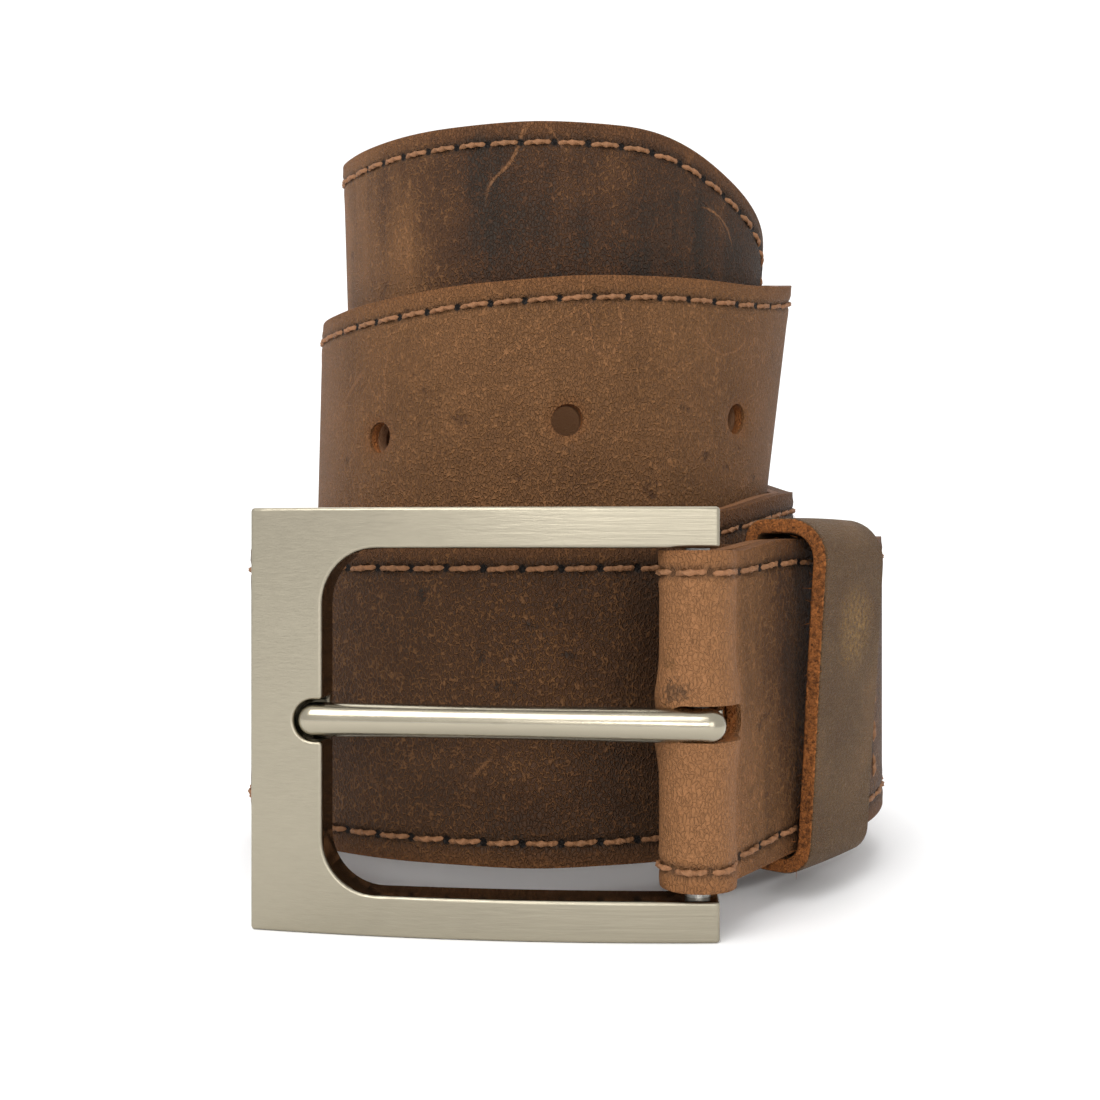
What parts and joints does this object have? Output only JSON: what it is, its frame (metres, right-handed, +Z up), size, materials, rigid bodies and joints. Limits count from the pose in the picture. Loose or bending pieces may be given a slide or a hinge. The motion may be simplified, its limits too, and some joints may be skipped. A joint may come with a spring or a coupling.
{
  "type": "leather belt",
  "caption": "Rolled leather belt standing on its edge: stitched and lined strap, open metal buckle frame with a swinging prong, and a sliding leather keeper.",
  "frame": {"origin": "centre of the bounding box, on the surface that the rolled belt stands on", "axes": "+Z up along the roll's axis; -Y towards the side that shows the buckle; +X to the buckle's right, where the strap leaves the buckle through the keeper"},
  "size_m": [0.0995, 0.1201, 0.1096],
  "materials": {
    "strap_leather": "waxed pull-up grain leather, semi-matt, with pale scuffs and burnished edges",
    "lining_leather": "matt smooth lining leather",
    "seam_thread": "twisted waxed thread",
    "buckle_nickel": "satin nickel plate, brushed along the frame",
    "prong_nickel": "satin nickel plate, smoother than the frame",
    "pin_steel": "plain drawn steel",
    "keeper_leather": "waxed grain leather with raw, fibrous cut edges",
    "staple_wire": "bright flat wire"
  },
  "bodies": {
    "strap": {"strap_outer": "strap_leather", "strap_lining": "lining_leather", "edge_seam_thread": "seam_thread", "turnback_seam_thread": "seam_thread"},
    "buckle": {"buckle_frame": "buckle_nickel", "buckle_pin": "pin_steel"},
    "prong": {"buckle_prong": "prong_nickel"},
    "keeper": {"keeper_loop": "keeper_leather", "keeper_staples": "staple_wire"}
  },
  "joints": [
    {"name": "frame_swing", "type": "hinge", "parent": "strap", "child": "buckle", "pos_m": [0.0149, -0.0543, 0.025], "axis": [0, 0, 1], "range_deg": [0, 55]},
    {"name": "prong_swing", "type": "hinge", "parent": "buckle", "child": "prong", "pos_m": [0.0149, -0.0543, 0.025], "axis": [0, 0, 1], "range_deg": [0, 35]},
    {"name": "keeper_slide", "type": "slide", "parent": "strap", "child": "keeper", "axis": [0.6361, 0.7716, 0], "range_m": [-0.003, 0.0015]}
  ]
}
